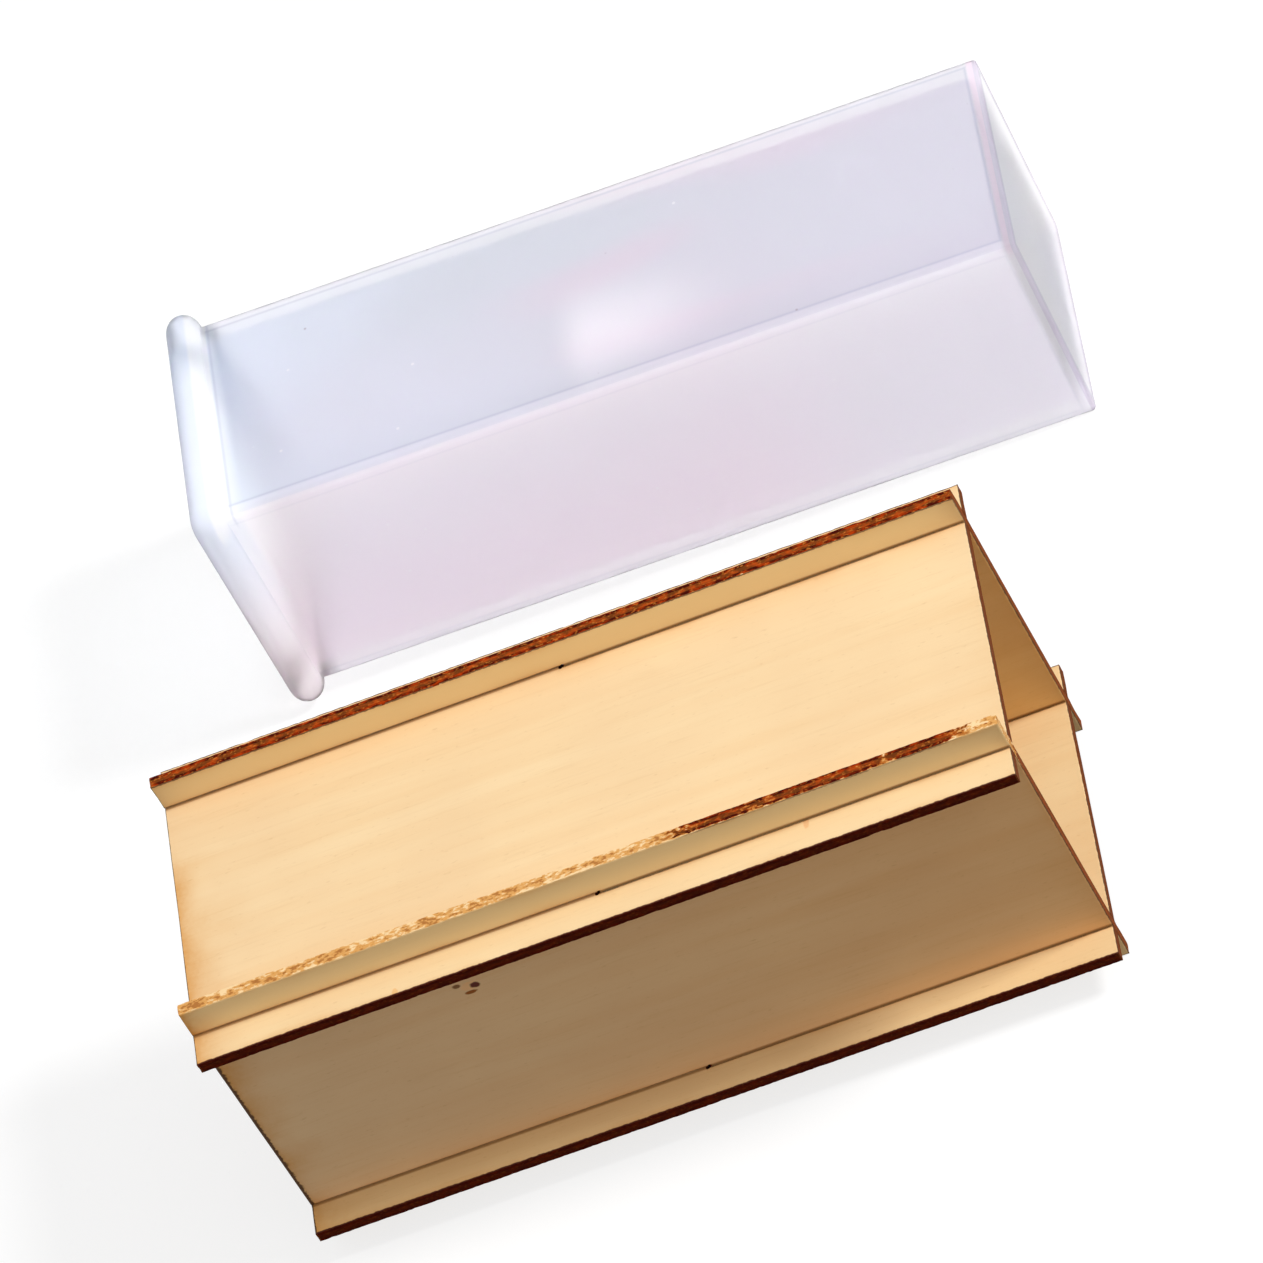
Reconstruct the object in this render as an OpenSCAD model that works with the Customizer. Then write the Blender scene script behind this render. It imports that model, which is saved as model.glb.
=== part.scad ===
// Soap loaf mould: a square tube of four plywood panels that lock together with
// lengthwise half-lap slots, and the soft silicone liner that slides into the tube.
// The liner has been pulled out and lies on the table behind the box.
// +X runs along the box towards the end where the top and bottom panels are slotted,
// +Y points back to the liner and +Z up. The origin is on the table, below the middle
// of the whole layout.

/* [Silicone liner] */
// Outer width and height of the liner just behind its rim
liner_w = 65; // [45:0.5:110]
// Thickness of the four walls
liner_wall = 3; // [1.5:0.1:6]
// Thickness of the closed end
liner_end_t = 3; // [1.5:0.1:8]
// How much narrower the closed end is than the mouth, over the whole width
liner_draft = 1; // [0:0.1:3]
// How far the closed end reaches out of the box when the rim is home
end_reach = 1; // [0:0.5:10]
// Radius of the long outer corners
corner_r = 2; // [1:0.1:8]
// Radius of the long inner corners
inner_corner_r = 1.5; // [0.5:0.1:6]
// Radius of the outer edge around the closed end
end_r = 1; // [0.4:0.1:3]
// Radius of the inner edge around the closed end
inner_end_r = 1.2; // [0.4:0.1:3]

/* [Rim] */
// How far the bead around the mouth stands out from the wall
rim_out = 4.5; // [2:0.1:8]
// Length of the bead along the liner
rim_l = 8.5; // [4:0.5:16]
// Radius of the lip between the mouth's face and the inner wall
lip_r = 0.8; // [0.3:0.1:1.2]

/* [Plywood box] */
// Length of every panel
panel_l = 200; // [120:1:400]
// Thickness of the plywood
ply_t = 3.2; // [2:0.1:6]
// How far each panel stands out past the panel that crosses it
fin_w = 8.5; // [4:0.5:20]
// Clearance between the liner's wall and each panel, just behind the rim
liner_gap = 0.7; // [0.3:0.1:3]
// Width of a slot beyond the plywood's thickness
slot_gap = 0.3; // [0.1:0.05:1]
// Gap between the two slot ends that meet at mid-length
slot_end_gap = 0.6; // [0.2:0.1:2]
// Radius of the small round relief in each blind corner of a slot
relief_r = 0.5; // [0.3:0.1:1]

/* [Layout] */
// Clear table between the box and the liner's rim
layout_gap = 78; // [10:1:150]
// How far the liner's mouth is set in from the box's left end
liner_shift = 10; // [-50:1:50]

/* [Hidden] */

// Overrun that makes a cut clean
cut = 1;
// Segments in a quarter round of the liner, along its corners and its edges
corner_steps = 6;
edge_steps = 4;
// Segments across the bead
bead_steps = 12;

// The tube that the four panels enclose, and the panels around it
tube_w = liner_w + 2 * liner_gap;
cross = (tube_w + ply_t) / 2;
panel_w = tube_w + 2 * ply_t + 2 * fin_w;
slot_w = ply_t + slot_gap;

// The liner's length: its rim stops at the box's left end
liner_l = rim_l + panel_l + end_reach;
cavity_l = liner_l - liner_end_t;

// Outer half width of the liner's plain wall at a distance x from the mouth
function wall_half(x) = (liner_w - liner_draft * max(0, x - rim_l) / (liner_l - rim_l)) / 2;

// Outlines of the liner as [distance from the mouth, half width, corner radius]
bead = [for (i = [0 : bead_steps]) let (a = 180 * i / bead_steps, out = rim_out * sin(a))
    [rim_l * (1 + cos(a)) / 2, liner_w / 2 + out, corner_r + out]];
closed_edge = [for (i = [0 : edge_steps]) let (a = 90 * i / edge_steps)
    [liner_l - end_r * (1 - sin(a)), wall_half(liner_l) - end_r * (1 - cos(a)),
     corner_r - min(end_r, corner_r / 2) * (1 - cos(a))]];
mouth_lip = [for (i = [0 : edge_steps]) let (a = 90 * i / edge_steps, in = lip_r * (1 - sin(a)))
    [lip_r * (1 - cos(a)), liner_w / 2 - liner_wall + in, inner_corner_r + in]];
cavity_edge = [for (i = [0 : edge_steps]) let (a = 90 * i / edge_steps, in = inner_end_r * (1 - cos(a)))
    [cavity_l - inner_end_r * (1 - sin(a)), wall_half(cavity_l) - liner_wall - in,
     max(inner_corner_r - in, inner_corner_r / 4)]];

outer_outline = concat([for (i = [edge_steps : -1 : 0]) closed_edge[i]], bead);
inner_outline = concat([for (i = [edge_steps : -1 : 0]) mouth_lip[i]], cavity_edge);

// The liner lies on its rim and on the edge of its closed end: lie_angle is the slope
// of the line that touches both, and lie_z lifts the liner's axis off the table
lie_angle = -atan(min([for (b = bead) max([for (e = closed_edge) (e[1] - b[1]) / (e[0] - b[0])])]));
lie_z = max([for (p = outer_outline) p[0] * sin(lie_angle) + p[1] * cos(lie_angle)]);

// Reach of the lying liner from its mouth's middle, and the layout around the origin
liner_x_low = min([for (p = outer_outline) p[0] * cos(lie_angle) - p[1] * sin(lie_angle)]);
liner_x_high = max([for (p = outer_outline) p[0] * cos(lie_angle) + p[1] * sin(lie_angle)]);
rim_half = liner_w / 2 + rim_out;
mouth_x = -panel_l / 2 + liner_shift - liner_x_low;
middle_x = (min(-panel_l / 2, mouth_x + liner_x_low) + max(panel_l / 2, mouth_x + liner_x_high)) / 2;
liner_y = panel_w / 2 + layout_gap + rim_half;
middle_y = (liner_y + rim_half - panel_w / 2) / 2;

// ---- Plywood panels ----

// One slot, open at the -X end and ending at mid-length, with its corner reliefs
module slot_outline() {
    translate([-panel_l / 2 - cut, -slot_w / 2])
        square([panel_l / 2 + cut + slot_end_gap / 2, slot_w]);
    for (side = [-1, 1])
        translate([slot_end_gap / 2, side * slot_w / 2])
            circle(r = relief_r, $fn = 24);
}

// One panel lying flat around the origin, slotted from its -X end
module panel() {
    translate([0, 0, -ply_t / 2])
        linear_extrude(ply_t)
            difference() {
                square([panel_l, panel_w], center = true);
                for (side = [-1, 1])
                    translate([0, side * cross])
                        slot_outline();
            }
}

// Moves a child from the box's centre to its place in the layout
module in_box() {
    translate([-middle_x, -middle_y, panel_w / 2])
        children();
}

// An upright panel, slotted from the left, on the side given
module upright_panel(side) {
    in_box()
        translate([0, side * cross, 0])
            rotate([90, 0, 0])
                panel();
}

// A lying panel, slotted from the right, on the side given
module level_panel(side) {
    in_box()
        translate([0, 0, side * cross])
            mirror([1, 0, 0])
                panel();
}

module front_panel() {
    color([0.80, 0.66, 0.46])
        upright_panel(-1);
}

module back_panel() {
    color([0.90, 0.74, 0.50])
        upright_panel(1);
}

module top_panel() {
    color([0.99, 0.87, 0.68])
        level_panel(1);
}

module bottom_panel() {
    color([0.94, 0.79, 0.56])
        level_panel(-1);
}

// ---- Silicone liner ----

// A square ring with rounded corners, at one step of an outline
function ring(step) = [for (quarter = [0 : 3], i = [0 : corner_steps])
    let (a = 90 * (quarter + i / corner_steps), r = step[2], c = step[1] - r, turn = 90 * quarter + 45)
    [step[0], sign(cos(turn)) * c + r * cos(a), sign(sin(turn)) * c + r * sin(a)]];

// The closed skin through a row of rings, with a flat cap on the first and the last
module skin(outline) {
    n = 4 * (corner_steps + 1);
    last = len(outline) - 1;
    sides = [for (j = [0 : last - 1], i = [0 : n - 1]) let (k = (i + 1) % n)
        each [[j * n + i, (j + 1) * n + i, j * n + k], [j * n + k, (j + 1) * n + i, (j + 1) * n + k]]];
    polyhedron(
        points = [for (step = outline) each ring(step)],
        faces = concat([[for (i = [0 : n - 1]) i]], [[for (i = [n - 1 : -1 : 0]) last * n + i]], sides),
        convexity = 6);
}

// One moulded piece: drafted tube, closed end and bead, as a single skin that runs
// along the outside to the mouth and back down the inside to the cavity's floor
module silicone_liner() {
    color([0.86, 0.88, 0.95, 0.6])
        translate([mouth_x - middle_x, liner_y - middle_y, lie_z])
            rotate([0, lie_angle, 0])
                skin(concat(outer_outline, inner_outline));
}

front_panel();
back_panel();
top_panel();
bottom_panel();
silicone_liner();
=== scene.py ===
import math

import bmesh
import bpy
from mathutils import Matrix, Vector


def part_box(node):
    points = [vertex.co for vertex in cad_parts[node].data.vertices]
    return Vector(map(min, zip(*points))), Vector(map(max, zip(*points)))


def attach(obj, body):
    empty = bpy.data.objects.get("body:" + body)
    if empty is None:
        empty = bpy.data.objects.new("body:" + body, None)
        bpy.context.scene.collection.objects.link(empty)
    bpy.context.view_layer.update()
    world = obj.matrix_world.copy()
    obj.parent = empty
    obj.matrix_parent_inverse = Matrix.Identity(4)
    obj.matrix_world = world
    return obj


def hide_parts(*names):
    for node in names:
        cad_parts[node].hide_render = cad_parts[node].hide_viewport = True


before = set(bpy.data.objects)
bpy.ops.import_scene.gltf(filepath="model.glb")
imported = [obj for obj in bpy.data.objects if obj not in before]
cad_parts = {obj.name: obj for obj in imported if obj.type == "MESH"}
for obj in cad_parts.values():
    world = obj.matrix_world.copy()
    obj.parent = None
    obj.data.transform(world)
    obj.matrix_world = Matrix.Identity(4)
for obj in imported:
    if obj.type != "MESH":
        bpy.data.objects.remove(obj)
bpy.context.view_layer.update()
mm = 0.001
white = (1, 1, 1, 1)
scene = bpy.context.scene


def paint(red, green, blue):
    # an sRGB colour, 0 to 255, as the linear colour that the shaders want
    def line(v):
        v /= 255
        return v / 12.92 if v <= 0.04045 else ((v + 0.055) / 1.055) ** 2.4
    return (line(red), line(green), line(blue), 1)


# camera: aimed near the middle of the layout, rolled as in the picture
shot = {
    "aim": (-2.4 * mm, -6.0 * mm, 45 * mm),
    "azimuth": 16.07,
    "elevation": 45.77,
    "roll": -31.51,
    "distance": 2352.6 * mm,
    "lens": 285.0,
    "sensor": 36,
    "clip": (0.05, 60),
}


def addCamera():
    turn = math.radians(shot["azimuth"])
    rise = math.radians(shot["elevation"])
    back = Vector((math.sin(turn) * math.cos(rise), -math.cos(turn) * math.cos(rise), math.sin(rise)))
    data = bpy.data.cameras.new("photoCamera")
    data.lens, data.sensor_width = shot["lens"], shot["sensor"]
    data.clip_start, data.clip_end = shot["clip"]
    camera = bpy.data.objects.new("photoCamera", data)
    look = back.to_track_quat("Z", "Y").to_matrix()
    look = look @ Matrix.Rotation(math.radians(shot["roll"]), 3, "Z")
    camera.matrix_world = Matrix.Translation(Vector(shot["aim"]) + back * shot["distance"]) @ look.to_4x4()
    scene.collection.objects.link(camera)
    scene.camera = camera


addCamera()
print("camera set")


# small helpers for node trees

def add(tree, kind, settings=None, inputs=None):
    node = tree.nodes.new(kind)
    for name, value in (settings or {}).items():
        setattr(node, name, value)
    for key, value in (inputs or {}).items():
        if isinstance(value, bpy.types.NodeSocket):
            tree.links.new(value, node.inputs[key])
        else:
            node.inputs[key].default_value = value
    return node


def calc(tree, operation, *values, clamp=False):
    node = add(tree, "ShaderNodeMath", {"operation": operation, "use_clamp": clamp}, dict(enumerate(values)))
    return node.outputs[0]


def ramp(tree, value, low, high, toLow=0.0, toHigh=1.0, smooth=True):
    node = add(tree, "ShaderNodeMapRange", {"interpolation_type": "SMOOTHSTEP" if smooth else "LINEAR"},
               {"Value": value, "From Min": low, "From Max": high, "To Min": toLow, "To Max": toHigh})
    return node.outputs["Result"]


def blend(tree, amount, first, second, kind="MIX"):
    node = add(tree, "ShaderNodeMix", {"data_type": "RGBA", "blend_type": kind},
               {0: amount, 6: first, 7: second})
    return node.outputs[2]


def speckle(tree, place, scale, detail=2.0, rough=0.5, seed=0.0):
    node = add(tree, "ShaderNodeTexNoise", {"noise_dimensions": "4D"},
               {"Vector": place, "W": seed, "Scale": scale, "Detail": detail, "Roughness": rough})
    return node.outputs[0]


def stretched(tree, place, amounts):
    node = add(tree, "ShaderNodeVectorMath", {"operation": "MULTIPLY"}, {0: place, 1: amounts})
    return node.outputs[0]


def newGroup(name, ins, outs, kind="ShaderNodeTree"):
    tree = bpy.data.node_groups.new(name, kind)
    for inOut, sockets in (("INPUT", ins), ("OUTPUT", outs)):
        for socketName, socketType in sockets:
            tree.interface.new_socket(socketName, in_out=inOut, socket_type="NodeSocket" + socketType)
    source = tree.nodes.new("NodeGroupInput").outputs
    sink = tree.nodes.new("NodeGroupOutput").inputs
    return tree, source, sink


def useGroup(tree, group, inputs):
    return add(tree, "ShaderNodeGroup", {"node_tree": group}, inputs).outputs


def addBump(tree, shader, strength, depth, height):
    bump = add(tree, "ShaderNodeBump", None, {"Strength": strength, "Distance": depth, "Height": height})
    tree.links.new(bump.outputs[0], shader.inputs["Normal"])


def readPlace(tree, attribute):
    # a piece's own coordinates, kept on its mesh: the whole vector, then its three parts
    place = add(tree, "ShaderNodeAttribute", {"attribute_name": attribute}).outputs["Vector"]
    return place, add(tree, "ShaderNodeSeparateXYZ", None, {0: place}).outputs


def newMaterial(name, shown):
    material = bpy.data.materials.new(name)
    material.use_nodes = True
    material.diffuse_color = shown
    tree = material.node_tree
    return material, tree, tree.nodes["Principled BSDF"]


# sizes that the panels share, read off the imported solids
lowTop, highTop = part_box("top_panel")
boxMid = (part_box("bottom_panel")[0] + highTop) / 2
plyT = highTop.z - lowTop.z

boards = {
    "Length": highTop.x - lowTop.x,
    "Width": highTop.y - lowTop.y,
    "Thickness": plyT,
    "Slot line": (lowTop.z + highTop.z) / 2 - boxMid.z,   # middle of a slot, from the board's middle
    "Slot width": plyT + 0.3 * mm,
    "Slot end": 0.3 * mm,          # past mid-length
    "Relief": 0.5 * mm,            # round corners where the laser turns
    "Steps": 250,                  # cells along the board
    "Arris": 0.32 * mm,            # width of the burnt, softened edge
    "Drop": 0.13 * mm,             # how far the edge falls away
    "Char loss": 0.14 * mm,        # wood burnt back from the cut faces
    "Chips": 0.30 * mm,            # deeper bites out of the edge
    "Char grain": 900.0,           # how fine the burnt edge is, per metre
    "Chip grain": 160.0,           # and the chips
}


def growBoardTree():
    names = [("Length", "Float"), ("Width", "Float"), ("Thickness", "Float"), ("Slot line", "Float"),
             ("Slot width", "Float"), ("Slot end", "Float"), ("Relief", "Float"), ("Steps", "Int"),
             ("Arris", "Float"), ("Drop", "Float"), ("Char loss", "Float"), ("Chips", "Float"),
             ("Char grain", "Float"), ("Chip grain", "Float"), ("Seed", "Float"),
             ("Face", "Material"), ("Cut", "Material")]
    tree, given, result = newGroup("halfLapBoard", names, [("Geometry", "Geometry")], "GeometryNodeTree")
    rows = 17                       # rows of points across the board, placed one by one below
    middle = rows // 2
    plies = 4                       # layers of mesh through the thickness

    half = calc(tree, "MULTIPLY", given["Length"], 0.5)
    side = calc(tree, "MULTIPLY", given["Width"], 0.5)
    slotHalf = calc(tree, "MULTIPLY", given["Slot width"], 0.5)
    slotIn = calc(tree, "SUBTRACT", given["Slot line"], slotHalf)
    slotOut = calc(tree, "ADD", given["Slot line"], slotHalf)
    columns = calc(tree, "ADD", given["Steps"], 1)

    grid = add(tree, "GeometryNodeMeshGrid", None, {
        "Size X": given["Length"], "Size Y": given["Width"], "Vertices X": columns, "Vertices Y": rows})
    index = add(tree, "GeometryNodeInputIndex").outputs[0]
    column = calc(tree, "FLOOR", calc(tree, "DIVIDE", index, rows))
    row = calc(tree, "SUBTRACT", calc(tree, "MODULO", index, rows), middle)
    place = add(tree, "GeometryNodeInputPosition").outputs[0]
    apart = add(tree, "ShaderNodeSeparateXYZ", None, {0: place})

    # across: from the middle out, with a row close to each cut edge
    picks = add(tree, "GeometryNodeIndexSwitch", {"data_type": "FLOAT"})
    while len(picks.index_switch_items) < middle + 1:
        picks.index_switch_items.new()
    tree.links.new(calc(tree, "ABSOLUTE", row), picks.inputs[0])
    distances = [0.0, calc(tree, "MULTIPLY", slotIn, 0.5), calc(tree, "SUBTRACT", slotIn, given["Arris"]),
                 slotIn, slotOut, calc(tree, "ADD", slotOut, given["Arris"]),
                 calc(tree, "MULTIPLY", calc(tree, "ADD", slotOut, side), 0.5),
                 calc(tree, "SUBTRACT", side, given["Arris"]), side]
    for i, distance in enumerate(distances):
        if isinstance(distance, float):
            picks.inputs[i + 1].default_value = distance
        else:
            tree.links.new(distance, picks.inputs[i + 1])
    across = calc(tree, "MULTIPLY", calc(tree, "SIGN", row), picks.outputs[0])

    # along: even cells, with a column close to each end and on the slots' end
    along = apart.outputs[0]
    midColumn = calc(tree, "MULTIPLY", given["Steps"], 0.5)
    stops = [(calc(tree, "SUBTRACT", column, 1.0), calc(tree, "SUBTRACT", given["Arris"], half)),
             (calc(tree, "ADD", calc(tree, "SUBTRACT", column, given["Steps"]), 1.0),
              calc(tree, "SUBTRACT", half, given["Arris"])),
             (calc(tree, "SUBTRACT", column, midColumn), given["Slot end"]),
             (calc(tree, "SUBTRACT", calc(tree, "SUBTRACT", column, midColumn), 1.0),
              calc(tree, "ADD", given["Slot end"], given["Arris"]))]
    for away, target in stops:
        hit = calc(tree, "COMPARE", away, 0.0, 0.25)
        along = add(tree, "ShaderNodeMix", {"data_type": "FLOAT"}, {0: hit, 2: along, 3: target}).outputs[0]
    low = calc(tree, "MULTIPLY", given["Thickness"], -0.5)
    spot = add(tree, "ShaderNodeCombineXYZ", None, {0: along, 1: across, 2: low}).outputs[0]
    sheet = add(tree, "GeometryNodeSetPosition", None, {"Geometry": grid.outputs[0], "Position": spot})

    # the two slots
    offLine = calc(tree, "ABSOLUTE", calc(tree, "SUBTRACT", calc(tree, "ABSOLUTE", apart.outputs[1]),
                                          given["Slot line"]))
    inSlot = calc(tree, "MULTIPLY", calc(tree, "LESS_THAN", offLine, slotHalf),
                  calc(tree, "LESS_THAN", apart.outputs[0], given["Slot end"]))
    slotted = add(tree, "GeometryNodeDeleteGeometry", {"domain": "FACE", "mode": "ALL"},
                  {"Geometry": sheet.outputs[0], "Selection": inSlot})

    # mark the outline, then pull the sheet up layer by layer
    neighbours = add(tree, "GeometryNodeInputMeshEdgeNeighbors").outputs[0]
    single = add(tree, "FunctionNodeCompare", {"data_type": "INT", "operation": "EQUAL"},
                 {2: neighbours, 3: 1})
    onEdge = add(tree, "GeometryNodeFieldOnDomain", {"data_type": "BOOLEAN", "domain": "EDGE"},
                 {0: single.outputs[0]})
    marked = add(tree, "GeometryNodeStoreNamedAttribute", {"data_type": "BOOLEAN", "domain": "POINT"},
                 {"Geometry": slotted.outputs[0], "Name": "rim", "Value": onEdge.outputs[0]})
    bottom = add(tree, "GeometryNodeFlipFaces", None, {0: marked.outputs[0]})
    pulled, chosen = marked.outputs[0], None
    for ply in range(plies):
        up = add(tree, "ShaderNodeCombineXYZ", None, {2: calc(tree, "DIVIDE", given["Thickness"], plies)})
        pull = add(tree, "GeometryNodeExtrudeMesh", {"mode": "FACES"}, {
            "Mesh": pulled, "Offset": up.outputs[0], "Offset Scale": 1.0, "Individual": False})
        if chosen:
            tree.links.new(chosen, pull.inputs["Selection"])
        pulled, chosen = pull.outputs[0], pull.outputs[1]
    closed = add(tree, "GeometryNodeJoinGeometry")
    tree.links.new(bottom.outputs[0], closed.inputs[0])
    tree.links.new(pulled, closed.inputs[0])
    solid = add(tree, "GeometryNodeMergeByDistance", None, {"Geometry": closed.outputs[0], "Distance": 1e-6})

    # burn the outline back, soften its edges and bite chips out of them
    rim = add(tree, "GeometryNodeInputNamedAttribute", {"data_type": "BOOLEAN"}, {"Name": "rim"}).outputs[0]
    facing = add(tree, "ShaderNodeSeparateXYZ", None, {0: add(tree, "GeometryNodeInputNormal").outputs[0]})
    outward = add(tree, "ShaderNodeVectorMath", {"operation": "NORMALIZE"}, {
        0: add(tree, "ShaderNodeCombineXYZ", None, {0: facing.outputs[0], 1: facing.outputs[1]}).outputs[0]})
    fine = speckle(tree, place, given["Char grain"], 3.0, 0.6, given["Seed"])
    broad = speckle(tree, place, given["Chip grain"], 2.0, 0.5, calc(tree, "ADD", given["Seed"], 7.0))
    chip = ramp(tree, broad, 0.60, 0.72)
    loss = calc(tree, "MULTIPLY", given["Char loss"], ramp(tree, fine, 0.38, 0.72))
    level = calc(tree, "GREATER_THAN", calc(tree, "ABSOLUTE", apart.outputs[2]),
                 calc(tree, "MULTIPLY", given["Thickness"], 0.45))
    bite = calc(tree, "MULTIPLY", calc(tree, "MULTIPLY", given["Chips"], chip), fine)
    fall = calc(tree, "ADD", calc(tree, "MULTIPLY", given["Drop"], calc(tree, "ADD", fine, 0.4)), bite)
    fall = calc(tree, "MULTIPLY", calc(tree, "MULTIPLY", fall, level), calc(tree, "SIGN", apart.outputs[2]))
    inward = calc(tree, "MULTIPLY", calc(tree, "ADD", loss, calc(tree, "MULTIPLY", bite, level)), -1.0)
    back = add(tree, "ShaderNodeVectorMath", {"operation": "SCALE"}, {0: outward.outputs[0], 3: inward})
    down = add(tree, "ShaderNodeCombineXYZ", None, {2: calc(tree, "MULTIPLY", fall, -1.0)})
    move = add(tree, "ShaderNodeVectorMath", {"operation": "ADD"}, {0: back.outputs[0], 1: down.outputs[0]})
    worn = add(tree, "GeometryNodeSetPosition", None, {
        "Geometry": solid.outputs[0], "Selection": rim, "Offset": move.outputs[0]})

    # round reliefs in the blind corners
    corners = add(tree, "GeometryNodeMeshLine", None, {"Count": 4})
    corner = add(tree, "GeometryNodeIndexSwitch", {"data_type": "FLOAT"}, {0: index})
    while len(corner.index_switch_items) < 4:
        corner.index_switch_items.new()
    sides = [slotIn, slotOut, calc(tree, "MULTIPLY", slotIn, -1.0), calc(tree, "MULTIPLY", slotOut, -1.0)]
    for i, value in enumerate(sides):
        tree.links.new(value, corner.inputs[i + 1])
    cornerSpot = add(tree, "ShaderNodeCombineXYZ", None, {0: given["Slot end"], 1: corner.outputs[0]})
    put = add(tree, "GeometryNodeSetPosition", None, {
        "Geometry": corners.outputs[0], "Position": cornerSpot.outputs[0]})
    drill = add(tree, "GeometryNodeMeshCylinder", None, {
        "Vertices": 24, "Radius": given["Relief"], "Depth": calc(tree, "MULTIPLY", given["Thickness"], 2.0)})
    drills = add(tree, "GeometryNodeInstanceOnPoints", None, {
        "Points": put.outputs[0], "Instance": drill.outputs[0]})
    holes = add(tree, "GeometryNodeRealizeInstances", None, {0: drills.outputs[0]})
    cutAway = add(tree, "GeometryNodeMeshBoolean", {"operation": "DIFFERENCE", "solver": "EXACT"})
    tree.links.new(worn.outputs[0], cutAway.inputs["Mesh 1"])
    tree.links.new(holes.outputs[0], cutAway.inputs["Mesh 2"])

    # keep the board's own coordinates for its grain, then give each face its finish
    kept = add(tree, "GeometryNodeStoreNamedAttribute", {"data_type": "FLOAT_VECTOR", "domain": "POINT"},
               {"Geometry": cutAway.outputs[0], "Name": "boardPlace", "Value": place})
    real = add(tree, "GeometryNodeRealizeInstances", None, {0: kept.outputs[0]})
    faced = add(tree, "GeometryNodeSetMaterial", None, {
        "Geometry": real.outputs[0], "Material": given["Face"]})
    steep = calc(tree, "LESS_THAN", calc(tree, "ABSOLUTE", facing.outputs[2]), 0.5)
    done = add(tree, "GeometryNodeSetMaterial", None, {
        "Geometry": faced.outputs[0], "Selection": steep, "Material": given["Cut"]})
    tree.links.new(done.outputs[0], result[0])
    return tree


boardTree = growBoardTree()
print("board tree built")


# shader groups that the wood finishes share

def growGrainGroup():
    tree, given, result = newGroup("woodGrain", [("Place", "Vector"), ("Seed", "Float")],
                                   [("Streak", "Float"), ("Fibre", "Float"), ("Fleck", "Float"),
                                    ("Cloud", "Float")])
    bend = speckle(tree, stretched(tree, given[0], (9, 30, 9)), 1.0, 2.0, 0.5, given[1])
    shift = add(tree, "ShaderNodeCombineXYZ", None, {1: calc(tree, "MULTIPLY", bend, 0.004)})
    bent = add(tree, "ShaderNodeVectorMath", {"operation": "ADD"}, {0: given[0], 1: shift.outputs[0]})
    bent = bent.outputs[0]
    tree.links.new(speckle(tree, stretched(tree, bent, (6, 120, 20)), 1.0, 3.0, 0.55, given[1]), result[0])
    tree.links.new(speckle(tree, stretched(tree, bent, (70, 1500, 300)), 1.0, 3.0, 0.6, given[1]), result[1])
    fleck = speckle(tree, stretched(tree, bent, (420, 1300, 600)), 1.0, 2.0, 0.5, given[1])
    tree.links.new(ramp(tree, fleck, 0.60, 0.78), result[2])
    tree.links.new(ramp(tree, speckle(tree, given[0], 22.0, 3.0, 0.5, given[1]), 0.35, 0.65), result[3])
    return tree


def growCutGroup():
    # distances from a point on a board's face to its laser cuts and to the board that crosses it
    tree, given, result = newGroup("cutDistance", [
        ("Place", "Vector"), ("Half length", "Float"), ("Half width", "Float"), ("Slot line", "Float"),
        ("Slot half", "Float"), ("Slot end", "Float"), ("Ply half", "Float")],
        [("Side distance", "Float"), ("End distance", "Float"), ("Seam distance", "Float")])
    apart = add(tree, "ShaderNodeSeparateXYZ", None, {0: given[0]})
    absY = calc(tree, "ABSOLUTE", apart.outputs[1])
    toEnd = calc(tree, "SUBTRACT", given[1], calc(tree, "ABSOLUTE", apart.outputs[0]))
    toSide = calc(tree, "SUBTRACT", given[2], absY)
    offLine = calc(tree, "ABSOLUTE", calc(tree, "SUBTRACT", absY, given[3]))
    beside = calc(tree, "SUBTRACT", offLine, given[4])
    past = calc(tree, "SUBTRACT", apart.outputs[0], given[5])
    beside, past = calc(tree, "MAXIMUM", beside, 0.0), calc(tree, "MAXIMUM", past, 0.0)
    toSlot = calc(tree, "SQRT", calc(tree, "ADD", calc(tree, "MULTIPLY", beside, beside),
                                     calc(tree, "MULTIPLY", past, past)))
    tree.links.new(calc(tree, "MINIMUM", toSide, toSlot), result[0])
    tree.links.new(toEnd, result[1])
    tree.links.new(calc(tree, "SUBTRACT", offLine, given[6]), result[2])
    return tree


def growScorchGroup():
    # smoke haze and burnt line along a cut
    tree, given, result = newGroup("scorch", [
        ("Distance", "Float"), ("Place", "Vector"), ("Haze width", "Float"), ("Line width", "Float"),
        ("Seed", "Float")], [("Haze", "Float"), ("Line", "Float")])
    drift = speckle(tree, given[1], 55.0, 2.0, 0.5, given[4])
    grit = speckle(tree, given[1], 900.0, 2.0, 0.5, given[4])
    reach = calc(tree, "MULTIPLY", given[2], ramp(tree, drift, 0.3, 0.75, 0.25, 1.5))
    fade = calc(tree, "EXPONENT", calc(tree, "MULTIPLY", calc(tree, "DIVIDE", given[0], reach), -1.0))
    tree.links.new(calc(tree, "MULTIPLY", fade, ramp(tree, grit, 0.2, 0.8, 0.75, 1.0), clamp=True), result[0])
    edge = calc(tree, "MULTIPLY", given[3], ramp(tree, grit, 0.25, 0.75, 0.75, 1.35))
    tree.links.new(ramp(tree, calc(tree, "DIVIDE", given[0], edge), 0.7, 1.2, 1.0, 0.0), result[1])
    return tree


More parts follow.
